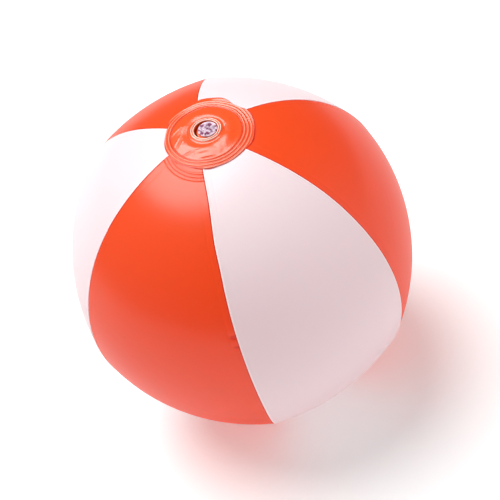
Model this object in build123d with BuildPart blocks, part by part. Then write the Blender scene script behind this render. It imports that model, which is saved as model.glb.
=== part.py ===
"""Inflatable beach ball, blown up, standing on its base cap disc with the valve at the top.

The origin is the foot of the ball's polar axis, in the plane that the ball rests on. +Z runs up the polar
axis to the valve. One white panel faces -Y. All sizes are in millimetres.
"""

from build123d import *

import os
from math import sqrt

os.makedirs("parts", exist_ok=True)

# ---- driving dimensions: the bladder ----
panel_count = 6
panel_angle = 360 / panel_count
first_panel = -150.0  # direction of the first panel's centre line, seen from above, from +X
panel_radius = 137.0  # polar axis to the outside of a panel, on the panel's centre line at the equator
pole_height = 143.0  # ball's centre to the outside of the panels at a pole
lobe_offset = 32.0  # each panel's own axis lies this far beyond the polar axis, so the seams stand proud
film = 0.3  # vinyl film
tip_radius = 18.0  # the panels stop this far from the polar axis, under a cap disc
cap_radius = 35.0  # cap disc
rest_radius = 14.0  # flat of the base cap disc, where the ball's weight presses it on the ground
ball_reach = 2 * pole_height  # longer than anything that a cutting shape has to pass

# ---- driving dimensions: the valve ----
collar_outer = 11.7
collar_inner = 9.3
collar_hole = 12.0  # hole in the valve cap disc, round the collar
collar_proud = 1.5  # collar above the film beside it
collar_round = 0.9
flange_radius = 16.5
flange_thick = 0.8
stem_outer = 5.2
stem_bore = 4.0
stem_length = 16.4
stem_lip = 6.6
stem_lip_thick = 1.0
stem_foot = 6.3
stem_foot_thick = 2.0
plug_shank = 3.93  # a running fit in the stem's bore
plug_depth = 7.0
plug_head = 7.5
plug_head_thick = 1.4
plug_sink = 0.4  # the pushed-in plug lies this far below the collar
plug_hollow = 2.6
plug_lead = 0.6  # chamfer at the plug's foot and rounding of its head
sleeve_wall = 0.5
sleeve_hole = 5.5  # round the stem
sleeve_bend = 2.0  # inside the fold at the sleeve's foot
stem_round = 0.4
strap_wall = 0.6
strap_width = 3.0
strap_drop = 8.0  # the folded strap hangs this far down beside the stem
strap_bend = 1.1  # outside of the strap's two folds
strap_grip = 0.3  # the strap's end stands this far above the underside of the plug's head
strap_angle = -150.0  # direction of the strap, seen from above, from +X
flap_radius = 4.6
flap_thick = 0.5
touch_gap = 0.1  # between soft valve parts that move against each other

# ---- worked out ----
cap_across = panel_radius + film
cap_tall = pole_height + film
rest_drop = cap_tall * (1 - sqrt(1 - (rest_radius / cap_across) ** 2))
centre_height = cap_tall - rest_drop


def film_height(radius):
    """Height of the valve cap disc's outer face at this distance from the polar axis."""
    return centre_height + cap_tall * sqrt(1 - (radius / cap_across) ** 2)


flange_top = film_height(flange_radius) - 2 * film
flange_under = flange_top - flange_thick
collar_top = film_height(collar_hole) + collar_proud
plug_top = collar_top - plug_sink
plug_head_under = plug_top - plug_head_thick
stem_top = plug_head_under - touch_gap
stem_lip_under = stem_top - stem_lip_thick
stem_base = stem_top - stem_length
sleeve_foot = stem_base + stem_foot_thick + touch_gap


def oval(grow, floor):
    """Upright section of the ball, grown by this much and cut off below the floor height."""
    with BuildSketch(Plane.XZ) as section:
        with Locations((0, centre_height)):
            Ellipse(panel_radius + grow, pole_height + grow)
        with Locations((0, floor)):
            Rectangle(ball_reach, 2 * ball_reach, align=(Align.CENTER, Align.MIN), mode=Mode.INTERSECT)
    return section.sketch


def film_sector(inner, outer, grow, floor):
    """One sixth of a lobed skin of film, centred on +X, between two distances from the polar axis.

    The film's inner face is the ball's surface grown by this much. The skin is turned about the
    panel's own axis, behind the polar axis, and trimmed to the two seam planes.
    """
    outside = oval(grow + film, floor)
    inside = oval(grow, floor + film)
    with BuildSketch(Plane.XZ) as section:
        add(outside)
        add(inside, mode=Mode.SUBTRACT)
        with Locations((inner, -film)):
            Rectangle(outer - inner, 2 * ball_reach, align=Align.MIN, mode=Mode.INTERSECT)
    with BuildSketch(Plane.XY) as between_seams:
        with BuildLine():
            Polyline(
                (0, 0),
                PolarLocations(ball_reach, 1, -panel_angle / 2).locations[0].position,
                PolarLocations(ball_reach, 1, panel_angle / 2).locations[0].position,
                close=True,
            )
        make_face()
    own_axis = Axis((-lobe_offset, 0, 0), (0, 0, 1))
    with BuildPart() as sector:
        add(section.sketch.rotate(own_axis, -panel_angle / 2))
        revolve(axis=own_axis, revolution_arc=panel_angle)
        extrude(between_seams.sketch, amount=2 * ball_reach, mode=Mode.INTERSECT)
    return sector.part


# ---- six gore panels, white ones facing -90, 30 and 150 degrees, orange ones between them ----
panel_skin = film_sector(tip_radius, panel_radius + film, -film, 0)
for number in range(panel_count):
    colour = "orange" if number % 2 == 0 else "white"
    with BuildPart() as panel:
        add(panel_skin.rotate(Axis.Z, first_panel + panel_angle * number))
    panel.part.label = f"{colour}_panel_{number // 2 + 1}"
    export_step(panel.part, f"parts/{panel.part.label}.step")

# ---- cap discs over the panel tips, following the lobes under them ----
cap_skin = film_sector(0, cap_radius, 0, 0)

with BuildPart() as base_cap_disc:
    for number in range(panel_count):
        add(cap_skin.rotate(Axis.Z, first_panel + panel_angle * number))
    Cylinder(cap_radius, centre_height, align=(Align.CENTER, Align.CENTER, Align.MIN), mode=Mode.INTERSECT)
base_cap_disc.part.label = "base_cap_disc"
export_step(base_cap_disc.part, "parts/base_cap_disc.step")

with BuildPart() as valve_cap_disc:
    for number in range(panel_count):
        add(cap_skin.rotate(Axis.Z, first_panel + panel_angle * number))
    with Locations((0, 0, centre_height)):
        Cylinder(cap_radius, ball_reach, align=(Align.CENTER, Align.CENTER, Align.MIN), mode=Mode.INTERSECT)
        Cylinder(collar_hole, ball_reach, align=(Align.CENTER, Align.CENTER, Align.MIN), mode=Mode.SUBTRACT)
valve_cap_disc.part.label = "valve_cap_disc"
export_step(valve_cap_disc.part, "parts/valve_cap_disc.step")

# ---- valve flange: plate welded under the cap disc, with the collar that stands up through its hole ----
with BuildPart() as valve_flange:
    with BuildSketch(Plane.XZ):
        with Locations((collar_inner, flange_under)):
            Rectangle(flange_radius - collar_inner, flange_thick, align=Align.MIN)
            Rectangle(collar_outer - collar_inner, collar_top - flange_under, align=Align.MIN)
    revolve(axis=Axis.Z)
    fillet(valve_flange.edges().group_by(Axis.Z)[-1], radius=collar_round)
valve_flange.part.label = "valve_flange"
export_step(valve_flange.part, "parts/valve_flange.step")

# ---- soft sleeve: hangs from the flange and folds in to the stem's foot ----
with BuildPart() as valve_sleeve:
    with BuildSketch(Plane.XZ) as sleeve_section:
        with Locations((collar_inner, sleeve_foot)):
            Rectangle(sleeve_wall, flange_under - sleeve_foot, align=Align.MIN)
        with Locations((sleeve_hole, sleeve_foot)):
            Rectangle(collar_inner + sleeve_wall - sleeve_hole, sleeve_wall, align=Align.MIN)
        corners = sleeve_section.vertices()
        inner_corner = corners.sort_by_distance((collar_inner, sleeve_foot + sleeve_wall))[0]
        outer_corner = corners.sort_by_distance((collar_inner + sleeve_wall, sleeve_foot))[0]
        fillet(inner_corner, radius=sleeve_bend)
        fillet(outer_corner, radius=sleeve_bend + sleeve_wall)
    revolve(axis=Axis.Z)
valve_sleeve.part.label = "valve_sleeve"
export_step(valve_sleeve.part, "parts/valve_sleeve.step")

# ---- stem: the mouthpiece tube, pushed in flush ----
with BuildPart() as valve_stem:
    with BuildSketch(Plane.XZ):
        with Locations((stem_bore, stem_base)):
            Rectangle(stem_outer - stem_bore, stem_length, align=Align.MIN)
            Rectangle(stem_foot - stem_bore, stem_foot_thick, align=Align.MIN)
        with Locations((stem_bore, stem_lip_under)):
            Rectangle(stem_lip - stem_bore, stem_lip_thick, align=Align.MIN)
    revolve(axis=Axis.Z)
    fillet(valve_stem.edges().group_by(Axis.Z)[-1].sort_by(SortBy.RADIUS)[-1], radius=stem_round)
valve_stem.part.label = "valve_stem"
export_step(valve_stem.part, "parts/valve_stem.step")

# ---- plug: hollow stopper with a flat head that covers the stem's lip ----
with BuildPart() as valve_plug:
    with BuildSketch(Plane.XZ):
        with Locations((0, plug_head_under - plug_depth)):
            Rectangle(plug_shank, plug_depth + plug_head_thick, align=Align.MIN)
        with Locations((0, plug_head_under)):
            Rectangle(plug_head, plug_head_thick, align=Align.MIN)
        with Locations((0, plug_top)):
            Rectangle(plug_hollow, plug_depth, align=(Align.MIN, Align.MAX), mode=Mode.SUBTRACT)
    revolve(axis=Axis.Z)
    chamfer(valve_plug.edges().group_by(Axis.Z)[0], length=plug_lead)
    fillet(valve_plug.edges().group_by(Axis.Z)[-1].sort_by(SortBy.RADIUS)[-1], radius=plug_lead)
valve_plug.part.label = "valve_plug"
export_step(valve_plug.part, "parts/valve_plug.step")

# ---- strap: from under the stem's lip, folded down beside the stem and up to the plug's head ----
strap_reach = plug_head + touch_gap
strap_outer = strap_reach + strap_bend
strap_root = stem_outer + touch_gap + strap_wall
strap_end = plug_head_under + strap_grip
strap_floor = stem_top - strap_drop
strap_plane = Plane(
    origin=(0, 0, 0),
    x_dir=Vector(1, 0, 0).rotate(Axis.Z, strap_angle),
    z_dir=Vector(0, -1, 0).rotate(Axis.Z, strap_angle),
)
with BuildPart() as valve_strap:
    with BuildSketch(strap_plane) as strap_section:
        with Locations((strap_outer - strap_wall, strap_floor)):
            Rectangle(strap_wall, strap_end + strap_wall - strap_floor, align=Align.MIN)
        with Locations((strap_root, strap_floor)):
            Rectangle(strap_wall, stem_lip_under - strap_floor, align=Align.MIN)
            Rectangle(strap_outer - strap_root, strap_wall, align=Align.MIN)
        with Locations((strap_reach, strap_end)):
            Rectangle(strap_outer - strap_reach, strap_wall, align=Align.MIN)
        fillet(strap_section.vertices().group_by(Axis.Y)[0], radius=strap_bend)
    extrude(amount=strap_width / 2, both=True)
valve_strap.part.label = "valve_strap"
export_step(valve_strap.part, "parts/valve_strap.step")

# ---- non-return flap under the stem, hung from the stem's foot opposite the strap ----
flap_top = stem_base - touch_gap
with BuildPart() as valve_flap:
    with BuildSketch(Plane.XY.offset(flap_top - flap_thick)):
        Circle(flap_radius)
    extrude(amount=flap_thick)
valve_flap.part.label = "valve_flap"
export_step(valve_flap.part, "parts/valve_flap.step")
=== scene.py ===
"""The looks of an inflatable beach ball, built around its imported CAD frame.

All sizes are in metres, and +Z runs up the polar axis to the valve.
"""

import math

import bmesh
import bpy
from mathutils import Matrix, Vector, noise


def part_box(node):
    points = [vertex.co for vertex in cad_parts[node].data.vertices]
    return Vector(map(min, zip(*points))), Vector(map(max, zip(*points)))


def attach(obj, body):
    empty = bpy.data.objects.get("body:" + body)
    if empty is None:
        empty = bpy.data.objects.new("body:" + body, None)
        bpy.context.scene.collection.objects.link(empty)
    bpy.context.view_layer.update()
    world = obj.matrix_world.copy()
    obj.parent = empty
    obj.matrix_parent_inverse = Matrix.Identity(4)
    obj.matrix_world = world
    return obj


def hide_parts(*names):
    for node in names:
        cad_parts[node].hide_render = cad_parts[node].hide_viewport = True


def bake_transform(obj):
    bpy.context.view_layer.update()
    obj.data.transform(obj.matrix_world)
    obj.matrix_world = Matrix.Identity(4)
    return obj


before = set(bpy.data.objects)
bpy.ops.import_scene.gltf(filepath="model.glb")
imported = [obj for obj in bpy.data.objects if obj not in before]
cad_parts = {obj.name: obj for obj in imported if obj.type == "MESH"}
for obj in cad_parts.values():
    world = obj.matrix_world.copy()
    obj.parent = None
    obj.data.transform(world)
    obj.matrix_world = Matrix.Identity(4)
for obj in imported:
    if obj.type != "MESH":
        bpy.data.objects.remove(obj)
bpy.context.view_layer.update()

MM = 0.001
DEG = math.pi / 180
noise.seed_set(7)  # the soft mouldings come out the same in every run


# =============================================================================
# Maths on node sockets
# =============================================================================
class Value:
    """A number in a node tree. Operators on it add the tree's Math nodes."""

    def __init__(self, tree, socket):
        self.tree = tree
        self.socket = socket

    def math(self, operation, *others):
        return self.tree.node("ShaderNodeMath", {"operation": operation}, self, *others)

    def __add__(self, other):
        return self.math("ADD", other)

    def __mul__(self, other):
        return self.math("MULTIPLY", other)

    def __sub__(self, other):
        return self.math("SUBTRACT", other)

    def __truediv__(self, other):
        return self.math("DIVIDE", other)

    def __pow__(self, other):
        return self.math("POWER", other)

    def __neg__(self):
        return self.math("MULTIPLY", -1.0)

    def __abs__(self):
        return self.math("ABSOLUTE")

    def __rsub__(self, other):
        return self.tree.node("ShaderNodeMath", {"operation": "SUBTRACT"}, other, self)

    __radd__ = __add__
    __rmul__ = __mul__

    def sin(self):
        return self.math("SINE")

    def cos(self):
        return self.math("COSINE")

    def sqrt(self):
        return self.math("SQRT")

    def sign(self):
        return self.math("SIGN")

    def least(self, other):
        return self.math("MINIMUM", other)

    def most(self, other):
        return self.math("MAXIMUM", other)

    def bump(self, middle, width):
        """1 at the middle, falling smoothly to nothing a few widths away."""
        off = (self - middle) / width
        return self.tree.node("ShaderNodeMath", {"operation": "POWER"}, math.e, -(off * off))

    def rise(self, start, end):
        """0 before the start, 1 after the end, and smooth between them."""
        facts = {"interpolation_type": "SMOOTHSTEP"}
        return self.tree.node("ShaderNodeMapRange", facts, self, start, end, 0.0, 1.0)


class Tree:
    """A node tree being built."""

    def __init__(self, tree):
        self.tree = tree

    def node(self, kind, settings=None, *values, out=0, **named):
        """Adds one node: its settings first, then its sockets in order, then sockets by name."""
        made = self.tree.nodes.new(kind)
        for key, setting in (settings or {}).items():
            setattr(made, key, setting)
        for slot, value in zip(made.inputs, values):
            self.feed(slot, value)
        for key, value in named.items():
            self.feed(made.inputs[key.replace("_", " ")], value)
        return Value(self, made.outputs[out])

    def feed(self, slot, value):
        if isinstance(value, Value):
            self.tree.links.new(value.socket, slot)
        elif value is not None:
            slot.default_value = value

    def other(self, value, name):
        """Another output of the node that a value comes from."""
        return Value(self, value.socket.node.outputs[name])


def geometry_tree(name, inputs):
    """A Geometry Nodes tree with named inputs, and those inputs as values."""
    group = bpy.data.node_groups.new(name, "GeometryNodeTree")
    kinds = {int: "NodeSocketInt", float: "NodeSocketFloat", str: "NodeSocketMaterial"}
    for label, start in inputs.items():
        made = group.interface.new_socket(label, in_out="INPUT", socket_type=kinds[type(start)])
        if type(start) is not str:
            made.default_value = start
    group.interface.new_socket("Geometry", in_out="OUTPUT", socket_type="NodeSocketGeometry")
    tree = Tree(group)
    entry = group.nodes.new("NodeGroupInput")
    return tree, {label: Value(tree, entry.outputs[label]) for label in inputs}


def finish_tree(tree, geometry, material):
    """The tree's last nodes: plain mesh, smooth, with its material."""
    smooth = tree.node("GeometryNodeSetShadeSmooth", {}, geometry)
    plain = tree.node("GeometryNodeRealizeInstances", {}, smooth)
    dressed = tree.node("GeometryNodeSetMaterial", {}, plain, Material=material)
    tree.feed(tree.tree.nodes.new("NodeGroupOutput").inputs[0], dressed)


def grow(name, group, settings):
    """Runs a Geometry Nodes tree with these inputs and keeps the result as a plain mesh piece."""
    holder = bpy.data.objects.new(name, bpy.data.meshes.new(name))
    bpy.context.scene.collection.objects.link(holder)
    modifier = holder.modifiers.new(group.name, "NODES")
    modifier.node_group = group
    for item in group.interface.items_tree:
        if item.in_out == "INPUT" and item.name in settings:
            modifier[item.identifier] = settings[item.name]
    ready = holder.evaluated_get(bpy.context.evaluated_depsgraph_get())
    mesh = bpy.data.meshes.new_from_object(ready)
    holder.modifiers.remove(modifier)
    holder.data = mesh
    mesh.name = name
    return holder


# =============================================================================
# The ball's sizes, as the CAD part has them
# =============================================================================
PANEL_RADIUS = 137.0 * MM  # polar axis to a panel's centre line at the equator
POLE_HEIGHT = 143.0 * MM  # ball's centre to the film at a pole
LOBE_OFFSET = 32.0 * MM  # each panel's own axis lies this far beyond the polar axis
FILM = 0.3 * MM
CAP_RADIUS = 35.0 * MM
REST_RADIUS = 14.0 * MM  # flat that the ball rests on
HALF_PANEL = 30 * DEG
CAP_ACROSS = PANEL_RADIUS + FILM
CAP_TALL = POLE_HEIGHT + FILM
CENTRE_HEIGHT = CAP_TALL * math.sqrt(1 - (REST_RADIUS / CAP_ACROSS) ** 2)

PANEL_DIRECTIONS = {
    "orange_panel_1": -150, "white_panel_1": -90, "orange_panel_2": -30,
    "white_panel_2": 30, "orange_panel_3": 90, "white_panel_3": 150,
}
# how far each seam wanders from its true direction, in degrees: near the valve, above and below the middle
SEAM_WANDER = {
    0: (0.0, 0.35, 0.0), 60: (0.0, 0.5, 0.0), 120: (0.0, 0.9, 0.0),
    180: (0.0, -0.9, -0.2), 240: (3.0, -0.3, 2.3), 300: (0.0, -0.5, -0.2),
}
SEAMS_LEAN = (-4.6 * MM, 1.0 * MM)  # the panels' tips meet this far beside the valve
COLLAR_ASIDE = Vector((1.8, -0.1, 0)) * MM  # the valve was welded in a little off the polar axis
VALVE_ASIDE = Vector((0.9, 0.0, 0)) * MM  # and the stem in it sits to one side
DIE_CENTRE = (1.1 * MM, -1.0 * MM)  # the round weld die stood a little off the polar axis
SECOND_DIE = (-4.6 * MM, -9.7 * MM)  # and a second pressing stood further off
SECOND_DIE_RADIUS = 27.7 * MM
SECOND_DIE_WAY = (-152, 25, 50)  # it marked this azimuth, in full and then fading, so many degrees each way
RING_PITCH = 2.6 * MM
# the valve's disc was cut by hand to a round line: bulges and dips in its edge, by azimuth, width and depth
EDGE_WAVES = [
    (66, 14, 3.6), (44, 10, 1.6), (17, 11, -2.6),
    (-57, 14, 1.0), (-122, 12, 1.4), (139, 17, -1.7),
]
RIM, RIM_CENTRE = 34.9 * MM, (2.9 * MM, -0.6 * MM)
CORNER_SOFTNESS = 0.067  # how far the cap discs bridge the corners between the lobes


# =============================================================================
# Camera, floor and light
# =============================================================================
TENT_BASE = 0.22  # glow of the white tent all round
TENT_SIDES = [(160, 15, 0.3), (70, 25, 0.1), (-50, 0, 1.3)]  # azimuth, elevation, strength
SOFTBOXES = [("overhead softbox", 110, 69, 1.5, 35)]  # name, azimuth, elevation, width, power
SOFTBOX_DISTANCE = 1.6
FLOOR_RADIUS = 1.5
FLOOR_GLOW = 0.2  # the floor is a light table, lit a little from below
FLOOR_RIM_GLOW = 0.45  # and this much more at its rim, rising from here:
FLOOR_RIM_START = 0.7


def direction(azimuth, elevation):
    """A unit vector from an azimuth, from +X, and an elevation, both in degrees."""
    azimuth, elevation = azimuth * DEG, elevation * DEG
    return Vector((math.cos(elevation) * math.cos(azimuth), math.cos(elevation) * math.sin(azimuth),
                   math.sin(elevation)))


def place_camera():
    """Looks down at the ball from over the front left, rolled so that the ball seems to lean."""
    roll = 17.5 * DEG
    distance, lens = 1.37, 121.54
    aside, above = 6.24 * MM, 0.88 * MM
    back = direction(-109.62, 48.87)
    level_up = (Vector((0, 0, 1)) - back * back.z).normalized()
    level_right = level_up.cross(back)
    right = level_right * math.cos(roll) - level_up * math.sin(roll)
    up = level_right * math.sin(roll) + level_up * math.cos(roll)
    place = Vector((0, 0, CENTRE_HEIGHT)) + back * distance + right * aside + up * above
    camera = bpy.data.objects.new("camera", bpy.data.cameras.new("camera"))
    camera.data.lens = lens
    camera.data.clip_start, camera.data.clip_end = 0.05, 50
    camera.matrix_world = Matrix((
        (right.x, up.x, back.x, place.x),
        (right.y, up.y, back.y, place.y),
        (right.z, up.z, back.z, place.z),
        (0, 0, 0, 1),
    ))
    bpy.context.scene.collection.objects.link(camera)
    bpy.context.scene.camera = camera


def softbox(name, azimuth, elevation, size, power):
    """A round soft light that faces the ball."""
    lamp = bpy.data.lights.new(name, "AREA")
    lamp.shape = "DISK"
    lamp.size = size
    lamp.energy = power
    holder = bpy.data.objects.new(name, lamp)
    aim = direction(azimuth, elevation)
    holder.location = Vector((0, 0, CENTRE_HEIGHT)) + aim * SOFTBOX_DISTANCE
    holder.rotation_euler = aim.to_track_quat("Z", "Y").to_euler()
    bpy.context.scene.collection.objects.link(holder)


def light_the_set():
    """A white tent, brighter on some sides, seen as plain white, and the softboxes."""
    world = bpy.data.worlds.new("white tent")
    bpy.context.scene.world = world
    world.use_nodes = True
    world.node_tree.nodes.clear()
    tree = Tree(world.node_tree)
    facing = tree.node("ShaderNodeTexCoord")
    glow = TENT_BASE
    for azimuth, elevation, strength in TENT_SIDES:
        side = tree.node("ShaderNodeVectorMath", {"operation": "DOT_PRODUCT"}, facing,
                         tuple(direction(azimuth, elevation)), out=1)
        glow = side.most(0.0) ** 3 * strength + glow
    seen = tree.node("ShaderNodeLightPath")
    tent = tree.node("ShaderNodeBackground", {}, (1, 1, 1, 1), seen.rise(0.4, 0.6) * (1 - glow) + glow)
    output = tree.tree.nodes.new("ShaderNodeOutputWorld")
    tree.feed(output.inputs["Surface"], tent)
    for name, azimuth, elevation, size, power in SOFTBOXES:
        softbox(name, azimuth, elevation, size, power)
    bpy.context.scene.view_settings.view_transform = "Standard"


def lay_floor():
    """A round sheet of white paper. It glows more towards its rim, where less of the softbox reaches it."""
    bpy.ops.mesh.primitive_circle_add(vertices=96, radius=FLOOR_RADIUS, fill_type="NGON",
                                      location=(0, 0, -0.1 * MM))
    floor = bpy.context.object
    floor.name = "floor"
    paper, tree = new_material("white paper")
    place = tree.node("ShaderNodeSeparateXYZ", {}, tree.node("ShaderNodeTexCoord", out=3))
    away = from_point(place, tree.other(place, "Y"), (0, 0))
    glow = away.rise(FLOOR_RIM_START, FLOOR_RADIUS) * FLOOR_RIM_GLOW + FLOOR_GLOW
    show(tree, tree.node("ShaderNodeBsdfPrincipled", {}, Base_Color=(0.95, 0.95, 0.95, 1), Roughness=0.9,
                         Specular_IOR_Level=0.1, Emission_Color=glow, Emission_Strength=1.0))
    floor.data.materials.append(paper)


# =============================================================================
# Vinyl
# =============================================================================
def new_material(name):
    """An empty material and its tree."""
    material = bpy.data.materials.new(name)
    material.use_nodes = True
    material.node_tree.nodes.clear()
    return material, Tree(material.node_tree)


def show(tree, shader):
    output = tree.tree.nodes.new("ShaderNodeOutputMaterial")
    tree.feed(output.inputs["Surface"], shader)


def blend_colour(tree, share, first, second):
    mix = tree.tree.nodes.new("ShaderNodeMix")
    mix.data_type = "RGBA"
    tree.feed(mix.inputs[0], share)
    tree.feed(mix.inputs[6], first)
    tree.feed(mix.inputs[7], second)
    return Value(tree, mix.outputs[2])


def film_vinyl(name, body, cloudy, edge, painted_seam_width, crest, through, translucency, roughness, specular):
    """Glossy blown film, which lets light through. A band along the weld takes the edge colour as painted
    light:
    painted shade in the groove beside an orange seam, a painted highlight on a white seam's bead, and
    painted shade along a cap disc's cut edge. Weld ridges are paler, partly from the die's whitening and
    partly as a painted highlight, and grooves, pinches and sunken folds take the edge colour as painted
    shade.

    The seam attribute is the distance from the weld. The crest attribute is 1 on a weld ridge or a fold's
    ridge, and negative in a groove.
    """
    material, tree = new_material(name)
    place = tree.node("ShaderNodeTexCoord", out=3)
    clouds = tree.node("ShaderNodeTexNoise", {}, Vector=place, Scale=9.0, Detail=3.0)
    grain = tree.node("ShaderNodeTexNoise", {}, Vector=place, Scale=420.0, Detail=2.0)
    seam = tree.node("ShaderNodeAttribute", {"attribute_name": "seam"}, out=2)
    tint = blend_colour(tree, clouds, body, cloudy)
    # painted light along the weld: shade in the groove beside an orange seam, a highlight on a white seam's
    # bead, shade at a cap disc's cut edge
    tint = blend_colour(tree, 1 - seam.rise(painted_seam_width * 0.7, painted_seam_width * 1.3), tint, edge)
    ridge = tree.node("ShaderNodeAttribute", {"attribute_name": "crest"}, out=2)
    # paler ridges: the die's whitening plus a painted highlight on weld ridges, and a painted highlight on
    # raised folds
    tint = blend_colour(tree, 0.6 * ridge.rise(0.3, 1.0), tint, crest)
    # painted shade: grooves, pinches and sunken folds take the edge colour
    tint = blend_colour(tree, 0.7 * (-ridge).rise(0.15, 0.5), tint, edge)
    bump = tree.node("ShaderNodeBump", {}, Strength=0.04, Distance=0.1 * MM, Height=grain)
    dulled = roughness - 0.03 + 0.06 * clouds
    gloss = tree.node("ShaderNodeBsdfPrincipled", {}, Base_Color=tint, Roughness=dulled, IOR=1.6,
                      Specular_IOR_Level=specular, Normal=bump)
    glow = tree.node("ShaderNodeBsdfTranslucent", {}, Color=through)
    show(tree, tree.node("ShaderNodeMixShader", {}, translucency, gloss, glow))
    return material


def clear_vinyl(name, body, spots, transmission, roughness):
    """Soft clear moulding: glossy, a little uneven, and spotted. The plug's dark spots are painted
    reflections in its clear head; on the other mouldings the spots are uneven tone.
    """
    material, tree = new_material(name)
    place = tree.node("ShaderNodeTexCoord", out=3)
    clouds = tree.node("ShaderNodeTexNoise", {}, Vector=place, Scale=330.0, Detail=2.0)
    ripple = tree.node("ShaderNodeTexNoise", {}, Vector=place, Scale=380.0, Detail=1.0)
    bump = tree.node("ShaderNodeBump", {}, Strength=0.25, Distance=0.3 * MM, Height=ripple)
    tint = blend_colour(tree, clouds.rise(0.5, 0.62), body, spots)
    dulled = roughness - 0.04 + 0.08 * clouds
    show(tree, tree.node("ShaderNodeBsdfPrincipled", {}, Base_Color=tint, Roughness=dulled, IOR=1.5,
                         Transmission_Weight=transmission, Normal=bump))
    return material


# =============================================================================
# The ball's rules, shared by the panels and the cap discs
# =============================================================================
def lobed_reach(level, turn, offset):
    """Distance from the polar axis to a panel's outside, at a turn from the panel's centre line."""
    back = offset * turn.cos()
    return (back * back + level * level + 2 * level * offset).sqrt() - back


def lobed_level(reach, around, offset):
    """The other way round: the panel's section that passes this far from the axis, with soft corners."""
    pull = offset * (1 - CORNER_SOFTNESS + CORNER_SOFTNESS * (6 * (around - HALF_PANEL)).cos())
    return (reach * reach + 2 * reach * pull + offset * offset).sqrt() - offset


def cut_edge(around, rim, unevenness):
    """How far the valve disc's cut edge lies from its centre, in each direction."""
    for azimuth, width, depth in EDGE_WAVES:
        swing = ((around - azimuth * DEG) * 0.5).sin() * 2
        rim = unevenness * swing.bump(0.0, width * DEG) * (depth * MM) + rim
    return rim


def from_point(x, y, centre):
    """Distance from an upright axis."""
    across, along = x - centre[0], y - centre[1]
    return (across * across + along * along).sqrt()


def weld_ridges(across, first, pitch, count):
    """Rounded ridges that a round weld die leaves, from the first radius outwards, and the ridged band."""
    phase = (across - first) / pitch
    wave = 0.5 + 0.5 * (phase * (2 * math.pi)).cos()
    band = phase.rise(-0.5, -0.35) * (1 - phase.rise(count - 0.65, count - 0.5))
    return wave * band, band


def stamp(tree, geometry, **facts):
    """Keeps values on the surface's points for the material."""
    kept = {"data_type": "FLOAT", "domain": "POINT"}
    for name, value in facts.items():
        geometry = tree.node("GeometryNodeStoreNamedAttribute", kept, geometry, Name=name, Value=value)
    return geometry


def facing_way(x, y, azimuth, narrow, wide):
    """1 towards an azimuth from the polar axis, fading out between two angles either side of it."""
    near_axis = 0.1 * MM
    towards = x * math.cos(azimuth * DEG) + y * math.sin(azimuth * DEG)
    way = towards / ((x * x + y * y).sqrt() + near_axis)
    return way.rise(math.cos(wide * DEG), math.cos(narrow * DEG))


def crease(x, y, start, end, width):
    """A narrow ridge between two points, tapering at its ends."""
    run = (end[0] - start[0], end[1] - start[1])
    length = math.hypot(*run)
    unit = (run[0] / length, run[1] / length)
    along = (x - start[0]) * unit[0] + (y - start[1]) * unit[1]
    aside = (x - start[0]) * unit[1] - (y - start[1]) * unit[0]
    return aside.bump(0.0, width) * (along / length).bump(0.5, 0.42)


def outward(tree, x, y, z, flat):
    """The outward direction of the ball's surface at a point, from its height over the centre."""
    point = tree.node("ShaderNodeCombineXYZ", {}, x, y, z * flat)
    return tree.node("ShaderNodeVectorMath", {"operation": "NORMALIZE"}, point)


def raised(tree, x, y, z, centre_height, height, flat):
    """A point on the ball, moved out along its surface's direction."""
    out = outward(tree, x, y, z, flat)
    push = tree.node("ShaderNodeVectorMath", {"operation": "SCALE"}, out, Scale=height)
    base = tree.node("ShaderNodeCombineXYZ", {}, x, y, z + centre_height)
    return tree.node("ShaderNodeVectorMath", {"operation": "ADD"}, base, push)


def noise_at(tree, x, y, z, scale, detail, seed):
    """Noise at a point of the ball, from -0.5 to 0.5."""
    point = tree.node("ShaderNodeCombineXYZ", {}, x, y, z)
    return tree.node("ShaderNodeTexNoise", {"noise_dimensions": "4D"}, Vector=point, W=seed, Scale=scale,
                     Detail=detail) - 0.5


# =============================================================================
# Gore panels
# =============================================================================
PANEL_GRID = (121, 301)  # points across a panel and along it
FINE_ROWS = 0.6  # share of the rows that lie between the fine latitudes; the rest crowd into the tips
PINCH_WIDTH = 0.65 * DEG
PINCHES_APART = 3.4 * DEG
PINCH_DEPTH = 0.5 * MM
SWELL = 0.5 * MM  # long, faint waves in the blown film
UNDER_DISC = 0.5 * MM  # the panels sink this far where a disc covers them


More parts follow.
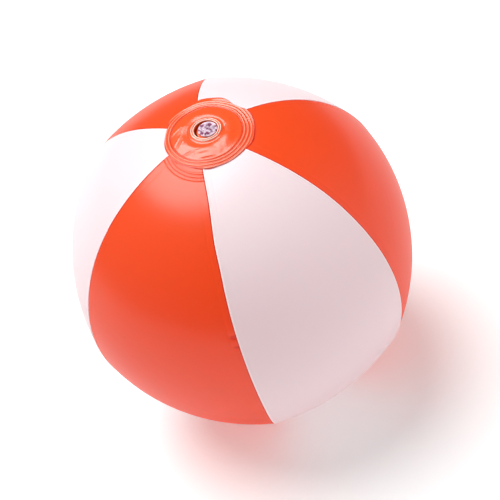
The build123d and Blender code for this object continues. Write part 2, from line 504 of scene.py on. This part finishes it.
def panel_tree():
    """One gore panel: a grid bent to the lobed ball, with its seams, welds and puckers in relief."""
    tree, ball = geometry_tree("blown gore panel", {
        "Panel radius": PANEL_RADIUS, "Pole height": POLE_HEIGHT, "Lobe offset": LOBE_OFFSET,
        "Centre height": CENTRE_HEIGHT, "Direction": 0.0, "Half width": HALF_PANEL,
        "Tip latitude": 82.45 * DEG, "Fine latitude": 72.2 * DEG,
        "Behind near valve": 0.0, "Behind above": 0.0, "Behind below": 0.0,
        "Ahead near valve": 0.0, "Ahead above": 0.0, "Ahead below": 0.0,
        "Seam bead": 0.3 * MM, "Seam tuck": 0.0, "Weld line": 0.12 * MM, "Weld width": 5.6 * MM,
        "Pucker": 0.25 * MM, "Pinch": 0.0, "Pinch latitude": 22.8 * DEG, "Ring relief": 0.4 * MM,
        "Seed": 1.0, "Vinyl": "",
    })
    grid = tree.node("GeometryNodeMeshGrid", {}, 2.0, 2.0, *PANEL_GRID)
    side = tree.node("ShaderNodeSeparateXYZ", {}, tree.node("GeometryNodeInputPosition"))
    climb = tree.other(side, "Y")
    # columns crowd towards the seams, and rows towards the tips
    across = side.sign() * (1 - (1 - abs(side)) ** 1.8)
    turn = across * ball["Half width"]
    tip_rows = (ball["Tip latitude"] - ball["Fine latitude"]) / (1 - FINE_ROWS)
    latitude = climb.sign() * (
        abs(climb).least(FINE_ROWS) * (ball["Fine latitude"] / FINE_ROWS)
        + (abs(climb) - FINE_ROWS).most(0.0) * tip_rows)
    wander = 0.0
    near_valve, above = latitude.rise(50 * DEG, 72 * DEG), latitude.bump(46 * DEG, 20 * DEG)
    below = 1 - latitude.rise(-20 * DEG, 40 * DEG)
    for edge, share in (("Behind", 0.5 - 0.5 * across), ("Ahead", 0.5 + 0.5 * across)):
        swing = (ball[edge + " near valve"] * near_valve + ball[edge + " above"] * above
                 + ball[edge + " below"] * below)
        wander = swing * share + wander
    reach = lobed_reach(ball["Panel radius"] * latitude.cos(), turn, ball["Lobe offset"])
    heading = turn + ball["Direction"] + wander
    flat = (PANEL_RADIUS / POLE_HEIGHT) ** 2
    upright_x, upright_y = reach * heading.cos(), reach * heading.sin()
    upright_rise = ball["Pole height"] * latitude.sin()
    lean = latitude.rise(40 * DEG, 76 * DEG)
    x, y = upright_x + lean * SEAMS_LEAN[0], upright_y + lean * SEAMS_LEAN[1]
    slide = upright_x * SEAMS_LEAN[0] + upright_y * SEAMS_LEAN[1]
    rise = upright_rise - lean * slide / (flat * upright_rise.most(60 * MM))
    seam = (ball["Half width"] - abs(turn)) * reach
    # relief
    ripple = noise_at(tree, x, y, rise, 95.0, 2.0, ball["Seed"])
    swell = noise_at(tree, x, y, rise, 14.0, 1.0, ball["Seed"] + 7.0)
    bead = ball["Seam bead"] * seam.bump(0.6 * MM, 0.5 * MM)
    tuck = ball["Seam tuck"] * (1 - seam.rise(0.0, 0.9 * MM))
    weld = ball["Weld line"] * seam.bump(ball["Weld width"], 0.55 * MM)
    pucker = ball["Pucker"] * ripple * (1 - seam.rise(3 * MM, 22 * MM)) * seam.rise(0.0, 1 * MM)
    # two short pinches that the weld left beside one seam
    upper = latitude.bump(ball["Pinch latitude"], PINCH_WIDTH)
    lower = latitude.bump(ball["Pinch latitude"] - PINCHES_APART, PINCH_WIDTH)
    pinch = ball["Pinch"] * (upper + 0.6 * lower) * across.rise(0.0, 0.2) * (1 - seam.rise(1 * MM, 9 * MM))
    # the second pressing's rings, on the valve's side only
    pressed, pressed_band = weld_ridges(from_point(x, y, SECOND_DIE), SECOND_DIE_RADIUS, RING_PITCH, 3.0)
    die_reach = facing_way(x, y, *SECOND_DIE_WAY) * (rise / POLE_HEIGHT).rise(0.7, 0.8)
    # how far outside the edge of the disc above or below
    from_axis = (x * x + y * y).sqrt()
    top = (rise / POLE_HEIGHT).rise(-0.1, 0.1)
    round_rim = (y - RIM_CENTRE[1]).math("ARCTAN2", x - RIM_CENTRE[0])
    past_edge = from_point(x, y, RIM_CENTRE) - cut_edge(round_rim, RIM, 1.0)
    past_edge = past_edge * top + (from_axis - CAP_RADIUS) * (1 - top)
    bare, loose = past_edge.rise(-1.2 * MM, 0.6 * MM), past_edge.rise(1 * MM, 25 * MM)
    height = ((bead - tuck - weld + pucker - pinch * PINCH_DEPTH) * bare + swell * loose * SWELL
              + (bare - 1) * UNDER_DISC + pressed * die_reach * ball["Ring relief"])
    spot = raised(tree, x, y, rise, ball["Centre height"], height, flat)
    # crest paints light and shade: the second pressing's rings paler as painted highlight, the pinches dark
    # as painted shade
    crest = (1.6 * pressed - 0.6 * pressed_band) * die_reach * 0.6 - pinch
    marked = stamp(tree, grid, seam=seam, crest=crest)
    finish_tree(tree, tree.node("GeometryNodeSetPosition", {}, marked, Position=spot), ball["Vinyl"])
    return tree.tree


def make_panels(orange, white):
    """Six gores of one pattern, each with its own two seams."""
    tree = panel_tree()
    for number, (node, azimuth) in enumerate(PANEL_DIRECTIONS.items()):
        is_white = node.startswith("white")
        sizes = {
            "Direction": azimuth * DEG,
            "Seed": 3.0 + number,
            "Vinyl": white if is_white else orange,
            "Seam bead": (0.35 if is_white else 0.0) * MM,
            "Seam tuck": (0.0 if is_white else 0.3) * MM,
            "Ring relief": (0.0 if is_white else 0.4) * MM,
            "Pinch": 1.0 if node == "orange_panel_1" else 0.0,
        }
        for edge, seam in (("Behind", azimuth - 30), ("Ahead", azimuth + 30)):
            for place, wander in zip(("near valve", "above", "below"), SEAM_WANDER[seam % 360]):
                sizes[f"{edge} {place}"] = wander * DEG
        panel = grow(node.replace("_panel", "_gore"), tree, sizes)
        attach(panel, "bladder")
        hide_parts(node)


# =============================================================================
# Cap discs
# =============================================================================
DISC_GRID = (109, 301)  # points from the hole to the rim and round the disc
LIP_START, LIP_END = 34.9 * MM, 37.6 * MM  # the loose lip outside the rings
LIP_WAY = (0, 30, 62)  # it lifts towards this azimuth, in full and then fading, so many degrees each way
DISC_CREASES = [  # start, end, width and height, in millimetres
    ((-28, -7), (-13, -11.8), 0.45, -0.5),
    ((-28, -8), (-13, -12.8), 0.5, 0.35),
    ((-26, 3), (-16, 8.3), 0.5, 0.4),
    ((-21, 14.5), (-11, 16), 0.5, 0.35),
    ((-18.5, -19), (-5, -25.8), 0.5, -0.45),
    ((-24, -1), (-15, 3.5), 0.4, 0.3),
    ((-17, -14), (-8, -19), 0.5, 0.35),
    ((-22, -17), (-15, -11.5), 0.4, -0.35),
    ((9, -11), (18, -3.5), 0.8, -0.4),
    ((13, -13), (22, -17), 0.6, -0.3),
    ((20, -3), (27, -3.5), 0.5, -0.35),
    ((19, 3), (26, 8), 0.5, -0.25),
    ((-2, -27), (-2.3, -35), 0.5, 0.3),
]


def disc_tree():
    """A cap disc: a grid rolled into a ring, laid on the lobed ball, with its weld rings in relief."""
    tree, disc = geometry_tree("welded cap disc", {
        "Panel radius": CAP_ACROSS, "Pole height": CAP_TALL, "Lobe offset": LOBE_OFFSET,
        "Centre height": CENTRE_HEIGHT, "Side": 1.0, "Hole": 12.0 * MM, "Rim": CAP_RADIUS,
        "Rim centre X": 0.0, "Rim centre Y": 0.0, "Hole centre X": 0.0, "Hole centre Y": 0.0,
        "Unevenness": 1.0, "Rings": 3.0, "First ring": 28.9 * MM, "Ring relief": 0.6 * MM,
        "Bulge": 0.8 * MM, "Lip lift": 1.4 * MM, "Seed": 1.0, "Vinyl": "",
    })
    grid = tree.node("GeometryNodeMeshGrid", {}, 1.0, 1.0, *DISC_GRID)
    place = tree.node("ShaderNodeSeparateXYZ", {}, tree.node("GeometryNodeInputPosition"))
    out = place + 0.5
    around = (tree.other(place, "Y") + 0.5) * (2 * math.pi)
    rim = cut_edge(around, disc["Rim"], disc["Unevenness"])
    far = disc["Hole"] * (1 - out) + rim * out
    x = around.cos() * far + disc["Rim centre X"] * out + disc["Hole centre X"] * (1 - out)
    y = around.sin() * far + disc["Rim centre Y"] * out + disc["Hole centre Y"] * (1 - out)
    reach = (x * x + y * y).sqrt()
    level = lobed_level(reach, y.math("ARCTAN2", x), disc["Lobe offset"]) / disc["Panel radius"]
    rise = disc["Pole height"] * (1 - level * level).sqrt()
    # the distance in from the cut edge, kept as the seam attribute: the disc's rim takes painted shade
    # there
    edge = (1 - out) * (rim - disc["Hole"])
    # relief
    die = from_point(x, y, DIE_CENTRE)
    rings, ring_band = weld_ridges(die, disc["First ring"], RING_PITCH, disc["Rings"])
    groove = die.bump(disc["First ring"] - 1.3 * MM, 0.6 * MM)
    bulge = reach.rise(12 * MM, 18 * MM) * (1 - reach.rise(19 * MM, 27 * MM))
    lip = die.rise(LIP_START, LIP_END) * facing_way(x, y, *LIP_WAY)
    from_hole = out * (rim - disc["Hole"])
    collar_weld = from_hole.bump(0.0, 0.7 * MM) * 0.5 * MM - from_hole.bump(2 * MM, 0.6 * MM) * 0.25 * MM
    wrinkles = noise_at(tree, x, y, rise, 60.0, 2.0, disc["Seed"]) * (1.1 * MM) * bulge
    wrinkles = noise_at(tree, x, y, rise, 230.0, 1.0, disc["Seed"]) * (0.14 * MM) + wrinkles
    folds = 0.0
    for start, end, width, depth in DISC_CREASES:
        start, end = tuple(part * MM for part in start), tuple(part * MM for part in end)
        folds = crease(x, y, start, end, width * MM) * depth + folds
    wrinkles = folds * MM + wrinkles
    clear_of_panels = 0.08 * MM
    height = (disc["Ring relief"] * (rings ** 1.4 - 0.7 * groove) + disc["Bulge"] * bulge
              + disc["Lip lift"] * lip + disc["Unevenness"] * (wrinkles + collar_weld) + clear_of_panels)
    flat = (PANEL_RADIUS / POLE_HEIGHT) ** 2
    spot = raised(tree, x, y, rise, 0.0, height, flat)
    apart = tree.node("ShaderNodeSeparateXYZ", {}, spot)
    tall = (disc["Centre height"] + disc["Side"] * tree.other(apart, "Z")).most(0.0)
    laid = tree.node("ShaderNodeCombineXYZ", {}, apart, tree.other(apart, "Y"), tall)
    # crest paints light and shade: rings and raised folds paler as painted highlight, the groove and sunken
    # folds dark as painted shade
    crest = 1.6 * rings - 0.6 * ring_band - 0.6 * groove + disc["Unevenness"] * folds
    marked = stamp(tree, grid, seam=edge, crest=crest)
    bent = tree.node("GeometryNodeSetPosition", {}, marked, Position=laid)
    joined = tree.node("GeometryNodeMergeByDistance", {}, bent, Distance=0.002 * MM)
    under = tree.node("FunctionNodeCompare", {"operation": "LESS_THAN"}, disc["Side"], 0.0)
    turned = tree.node("GeometryNodeFlipFaces", {}, joined, Selection=under)
    finish_tree(tree, turned, disc["Vinyl"])
    return tree.tree


def make_cap_discs(vinyl):
    """The valve's disc, with its hole and crinkles, and the plain disc that the ball stands on."""
    tree = disc_tree()
    for node, sizes, area in (
        ("valve_cap_disc", {"Hole": 11.75 * MM, "Rim": RIM, "Rim centre X": RIM_CENTRE[0],
                            "Rim centre Y": RIM_CENTRE[1], "Hole centre X": COLLAR_ASIDE.x,
                            "Hole centre Y": COLLAR_ASIDE.y, "Vinyl": vinyl}, 0.0034),
        ("base_cap_disc", {"Side": -1.0, "Hole": 0.0, "Unevenness": 0.0, "Bulge": 0.0, "Lip lift": 0.0,
                           "Seed": 5.0, "Vinyl": vinyl}, 0.00385),
    ):
        disc = grow(node.replace("_disc", "_film"), tree, sizes)
        wall = disc.modifiers.new("film", "SOLIDIFY")
        wall.thickness = FILM
        wall.offset = -1
        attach(disc, "bladder")
        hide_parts(node)


# =============================================================================
# Valve mouldings
# =============================================================================
ROUND_STEPS = 7  # on each rounded corner of an outline
TURN_STEPS = 144  # round a turned moulding
PLUG_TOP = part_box("valve_plug")[1].z
HEAD_ASIDE = Vector((2.2, -0.3, 0)) * MM
HEAD_RADIUS = 7.4 * MM
STRAP_AZIMUTH = -150 * DEG
STRAP_SIDES = 16  # of the strap's rounded section
STRAP_HALF_WIDTH = 1.45 * MM
STRAP_HALF_WALL = 0.28 * MM
HINGE_AZIMUTH = 30  # of the non-return flap, opposite the strap


def rounded_profile(corners):
    """A closed outline from corners (radius, height, rounding), in millimetres, with round corners."""
    outline = []
    for index, (radius, tall, rounding) in enumerate(corners):
        here = Vector((radius, tall))
        before = (Vector(corners[index - 1][:2]) - here).normalized()
        after = (Vector(corners[(index + 1) % len(corners)][:2]) - here).normalized()
        if rounding == 0:
            outline.append(here * MM)
            continue
        half = before.angle(after) / 2
        setback = rounding / math.tan(half)
        centre = here + (before + after).normalized() * rounding / math.sin(half)
        start = here + before * setback - centre
        swing = start.angle_signed(here + after * setback - centre)
        for step in range(ROUND_STEPS + 1):
            turned = start.copy()
            turned.rotate(Matrix.Rotation(-swing * step / ROUND_STEPS, 2))
            outline.append((centre + turned) * MM)
    return outline


def turned_piece(name, body, node, outline, vinyl, shape, aside=VALVE_ASIDE):
    """A moulding turned from an outline round the polar axis. shape moves a point to its final place."""
    mesh = bmesh.new()
    rings = []
    for point in outline:
        if point.x < 1e-7:
            rings.append([mesh.verts.new((0, 0, point.y))])
            continue
        rings.append([mesh.verts.new((point.x * math.cos(turn), point.x * math.sin(turn), point.y))
                      for turn in (2 * math.pi * step / TURN_STEPS for step in range(TURN_STEPS))])
    for first, second in zip(rings, rings[1:] + rings[:1]):
        if len(first) == len(second) == 1:
            continue
        for step in range(TURN_STEPS):
            corners = [first[step % len(first)], first[(step + 1) % len(first)],
                       second[(step + 1) % len(second)], second[step % len(second)]]
            unique = list(dict.fromkeys(corners))
            mesh.faces.new(unique)
    for vertex in mesh.verts:
        vertex.co = shape(vertex.co)
    return finish_moulding(name, body, node, mesh, vinyl, aside)


def finish_moulding(name, body, node, mesh, vinyl, aside):
    """Makes the mesh a valve piece, in its place. A piece given no body is left unattached here."""
    bmesh.ops.recalc_face_normals(mesh, faces=mesh.faces)
    for face in mesh.faces:
        face.smooth = True
    data = bpy.data.meshes.new(name)
    mesh.to_mesh(data)
    mesh.free()
    data.transform(Matrix.Translation(aside))
    data.materials.append(vinyl)
    piece = bpy.data.objects.new(name, data)
    bpy.context.scene.collection.objects.link(piece)
    if body:
        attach(piece, body)
    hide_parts(node)
    return piece


def uneven(scale, amount):
    """Moves a point a little, as soft mouldings are never quite true."""
    def shape(point):
        return point + noise.noise_vector(point * scale) * amount
    return shape


def crinkled_head(point):
    """The plug's head sits to one side, sinks in the middle, and its thin skin has crinkled."""
    reach = math.hypot(point.x, point.y)
    depth = PLUG_TOP - point.z
    if depth > 1.45 * MM:
        return point
    rim = noise.noise_vector(point * 300) * 0.3 * MM
    if depth > 0.9 * MM or reach > HEAD_RADIUS:
        return point + HEAD_ASIDE + rim
    inside = 1 - min(reach / (HEAD_RADIUS - 0.2 * MM), 1) ** 6
    folds = abs(noise.noise(point * 260)) + 0.5 * abs(noise.noise(point * 600 + Vector((5, 2, 9))))
    sink, crinkle = 0.5 * inside, 4.0 * inside * (folds - 0.3)
    return point + HEAD_ASIDE + Vector((0, 0, (crinkle - sink) * MM))


def make_collar(vinyl, shaded):
    """The flange under the film and the double ridge that stands up through the disc."""
    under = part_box("valve_flange")[0].z / MM
    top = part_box("valve_flange")[1].z / MM
    outline = rounded_profile([
        (9.3, under, 0.2), (16.5, under, 0.2), (16.5, under + 0.8, 0.2), (11.7, under + 0.8, 0.3),
        (11.85, top - 0.1, 0.5), (11.05, top - 0.1, 0.35), (10.6, top - 1.5, 0.2), (10.15, top, 0.3),
        (9.3, top, 0.4),
    ])
    collar = turned_piece("valve_collar", "bladder", "valve_flange", outline, vinyl, uneven(130, 0.2 * MM),
                          COLLAR_ASIDE)
    # the orange below shows through the thin inner wall; the groove between the two ridges takes the same
    # darker orange as painted shade
    collar.data.materials.append(shaded)
    for face in collar.data.polygons:
        spot = face.center - COLLAR_ASIDE
        reach, depth = spot.xy.length, top * MM - spot.z
        inner_wall = reach < 9.6 * MM and depth > 0.5 * MM
        groove = 10.25 * MM < reach < 11.0 * MM and depth > 0.45 * MM
        face.material_index = 1 if inner_wall or groove else 0


def make_sleeve(vinyl):
    """Hangs from the flange and rolls in to the stem's foot."""
    foot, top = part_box("valve_sleeve")[0].z / MM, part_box("valve_sleeve")[1].z / MM
    outline = rounded_profile([
        (5.5, foot, 0.1), (8.3, foot, 2.2), (9.5, foot + 7, 2.0), (9.7, top, 0.1), (9.25, top, 0.1),
        (9.05, foot + 7, 2.0), (7.9, foot + 0.5, 1.8), (5.5, foot + 0.5, 0.1),
    ])
    sleeve = turned_piece("valve_roll_sleeve", None, "valve_sleeve", outline, vinyl, uneven(160, 0.25 * MM))
    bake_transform(sleeve)


def make_stem(vinyl):
    """The mouthpiece tube, with three grips for the teeth."""
    foot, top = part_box("valve_stem")[0].z / MM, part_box("valve_stem")[1].z / MM
    grips = []
    for height in (9.5, 7.3, 5.1):
        low = foot + height
        grips += [(5.15, low + 0.7, 0.2), (5.42, low + 0.35, 0.3), (5.15, low, 0.2)]
    outline = rounded_profile([
        (4.0, foot, 0.3), (4.0, top, 0.45), (6.6, top, 0.4), (6.6, top - 1, 0.25), (5.15, top - 1, 0.3),
        *grips, (5.15, foot + 2, 0.3), (6.3, foot + 2, 0.3), (6.3, foot, 0.4),
    ])
    turned_piece("valve_mouthpiece", "stem", "valve_stem", outline, vinyl, uneven(180, 0.1 * MM))


def make_plug(vinyl):
    """A hollow stopper. Its head has many rings, so that the skin can crinkle."""
    foot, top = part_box("valve_plug")[0].z / MM, PLUG_TOP / MM
    head_under = top - 1.4
    face = [Vector((radius * 0.14 * MM, PLUG_TOP)) for radius in range(49)]
    side = rounded_profile([
        (7.5, top, 0.55), (7.5, head_under, 0.3), (3.93, head_under, 0.2), (3.93, foot, 0.6),
        (2.4, foot, 0.5), (2.4, head_under - 0.4, 0.6), (0.0, head_under - 0.4, 0.0),
    ])
    turned_piece("valve_stopper", "plug", "valve_plug", face + side, vinyl, crinkled_head)


def make_strap(vinyl):
    """A strip folded down beside the stem: from under the mouthpiece's lip to the plug's head."""
    low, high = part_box("valve_strap")[0].z / MM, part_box("valve_strap")[1].z / MM
    corners = [(6.2, high - 0.9, 0), (6.2, low + 0.3, 1.0), (8.4, low + 0.3, 1.0), (8.4, high - 0.3, 0.5),
               (7.3, high - 0.3, 0)]
    middle = rounded_profile(corners)
    mesh = bmesh.new()
    out = Vector((math.cos(STRAP_AZIMUTH), math.sin(STRAP_AZIMUTH), 0))
    aside = Vector((-out.y, out.x, 0))
    loops = []
    for index, point in enumerate(middle):
        run = middle[min(index + 1, len(middle) - 1)] - middle[max(index - 1, 0)]
        across = Vector((-run.y, run.x)).normalized()
        loop = []
        for turn in range(STRAP_SIDES):
            angle = 2 * math.pi * turn / STRAP_SIDES
            wide = math.copysign(abs(math.cos(angle)) ** 0.4, math.cos(angle)) * STRAP_HALF_WIDTH
            thick = math.copysign(abs(math.sin(angle)) ** 0.6, math.sin(angle)) * STRAP_HALF_WALL
            spot = point + across * thick
            loop.append(mesh.verts.new(out * spot.x + aside * wide + Vector((0, 0, spot.y))))
        loops.append(loop)
    for first, second in zip(loops, loops[1:]):
        for turn in range(STRAP_SIDES):
            mesh.faces.new((first[turn], first[turn - 1], second[turn - 1], second[turn]))
    mesh.faces.new(loops[0])
    mesh.faces.new(loops[-1])
    strap = finish_moulding("valve_plug_strap", None, "valve_strap", mesh, vinyl, VALVE_ASIDE)
    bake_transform(strap)


def make_flap(vinyl):
    """A soft dish under the stem, cut straight along its hinge."""
    low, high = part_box("valve_flap")[0].z / MM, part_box("valve_flap")[1].z / MM
    outline = rounded_profile([
        (0.0, low + 0.1, 0.0), (3.6, low, 0.1), (4.6, low, 0.24), (4.6, high, 0.24), (3.6, high, 0.1),
        (0.0, high - 0.1, 0.0),
    ])
    hinge_way = direction(HINGE_AZIMUTH, 0)
    hinge_edge = 4.85 * MM - VALVE_ASIDE.dot(hinge_way)

    def cut_straight(point):
        return point - hinge_way * max(point.dot(hinge_way) - hinge_edge, 0.0)

    turned_piece("valve_non_return_flap", "flap", "valve_flap", outline, vinyl, cut_straight)


# =============================================================================
# The scene
# =============================================================================
place_camera()
light_the_set()
lay_floor()

# the orange film's edge colour is painted shade beside each seam and in grooves and pinches; its crest
# colour is the die's whitening and a painted highlight
orange_vinyl = film_vinyl(
    "orange vinyl", body=(0.92, 0.115, 0.006, 1), cloudy=(0.90, 0.10, 0.006, 1),
    edge=(0.42, 0.012, 0.004, 1), painted_seam_width=0.8 * MM, crest=(1.0, 0.45, 0.28, 1),
    through=(1.0, 0.03, 0.004, 1), translucency=0.5, roughness=0.3, specular=0.75)
# the cap's edge colour is painted shade along its cut edge and in its ring grooves; its crest colour is the
# die's whitening and a painted highlight
cap_vinyl = film_vinyl(
    "orange cap vinyl", body=(0.92, 0.11, 0.006, 1), cloudy=(0.90, 0.09, 0.006, 1),
    edge=(0.62, 0.03, 0.006, 1), painted_seam_width=0.4 * MM, crest=(1.0, 0.5, 0.32, 1),
    through=(1.0, 0.05, 0.006, 1), translucency=0.3, roughness=0.24, specular=0.8)
# the white film's edge colour is a painted highlight on the seam bead
white_vinyl = film_vinyl(
    "white vinyl", body=(0.84, 0.82, 0.85, 1), cloudy=(0.83, 0.80, 0.835, 1),
    edge=(1.0, 0.98, 0.97, 1), painted_seam_width=1.0 * MM, crest=(1, 1, 1, 1),
    through=(0.95, 0.92, 0.96, 1), translucency=0.25, roughness=0.35, specular=0.4)
collar_vinyl = clear_vinyl(
    "soft clear vinyl", body=(1.0, 0.78, 0.66, 1), spots=(0.95, 0.66, 0.52, 1),
    transmission=0.3, roughness=0.16)
# the dark purple spots are painted reflections in the clear head
plug_vinyl = clear_vinyl(
    "crinkled clear vinyl", body=(0.82, 0.66, 0.78, 1), spots=(0.30, 0.07, 0.17, 1),
    transmission=0.25, roughness=0.12)
recess_vinyl = clear_vinyl(
    "soft orange vinyl", body=(1.0, 0.15, 0.02, 1), spots=(0.80, 0.05, 0.010, 1),
    transmission=0.15, roughness=0.16)

make_panels(orange_vinyl, white_vinyl)
make_cap_discs(cap_vinyl)
make_collar(collar_vinyl, recess_vinyl)
make_sleeve(recess_vinyl)
make_stem(recess_vinyl)
make_plug(plug_vinyl)
make_strap(recess_vinyl)
make_flap(collar_vinyl)
